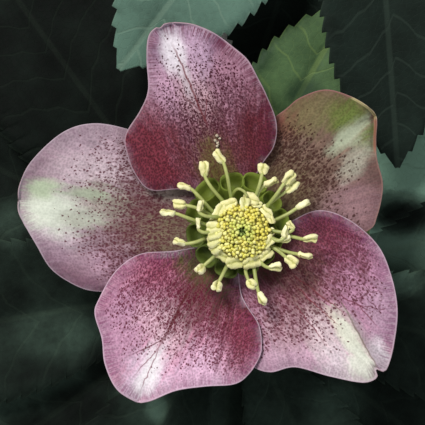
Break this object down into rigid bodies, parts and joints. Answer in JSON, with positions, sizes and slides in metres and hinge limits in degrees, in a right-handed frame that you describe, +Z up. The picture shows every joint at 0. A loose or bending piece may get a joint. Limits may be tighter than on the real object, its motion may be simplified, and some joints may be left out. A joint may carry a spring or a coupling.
{
  "type": "hellebore plant",
  "caption": "Flowering hellebore lifted with a short piece of crown and laid flat: a spotted bowl-shaped bloom on its stalk, with toothed hand-shaped leaves.",
  "frame": {"origin": "middle of the plant's footprint, on the surface that it lies on", "axes": "+Z up, the way the bloom faces; +Y from the spread leaf under the bloom towards the crown; +X to the right seen from above with the crown at the top"},
  "size_m": [0.1712, 0.2648, 0.0368],
  "materials": {
    "sepal_top": "silky magenta purple petal, dark maroon at its foot, freckled, pale patch near the tip",
    "sepal_upper_right": "silky dusky pink petal, densely freckled with maroon, green upper corner with a pale streak",
    "sepal_lower_right": "silky magenta petal, maroon at its foot, freckled, pale green streak along the fold",
    "sepal_lower_left": "silky rich pink petal, maroon at its foot, freckled, brown branching midrib, lilac margins",
    "sepal_left": "silky pale lilac pink petal, freckled on its inner half, pale green patch at the tip",
    "nectary": "glossy olive green nectar cups with paler rims",
    "stamen": "powdery cream yellow anthers on pale green filaments, bright yellow young anthers in the middle",
    "carpel": "green styles with pale tips",
    "stalk": "smooth fleshy green stalk flushed with dull purple, and yellow green bracts",
    "leaf": "leathery dark green upper face with a satin sheen and pale net of veins, lighter matt under face",
    "crown": "rough dark brown rootstock with cut roots"
  },
  "bodies": {
    "root": {"sepal_top": "sepal_top", "sepal_upper_right": "sepal_upper_right", "sepal_lower_right": "sepal_lower_right", "sepal_lower_left": "sepal_lower_left", "sepal_left": "sepal_left", "nectaries": "nectary", "stamens": "stamen", "carpels": "carpel", "flower_stalk": "stalk", "leaf_under": "leaf", "leaf_upper": "leaf", "crown": "crown"}
  },
  "joints": []
}
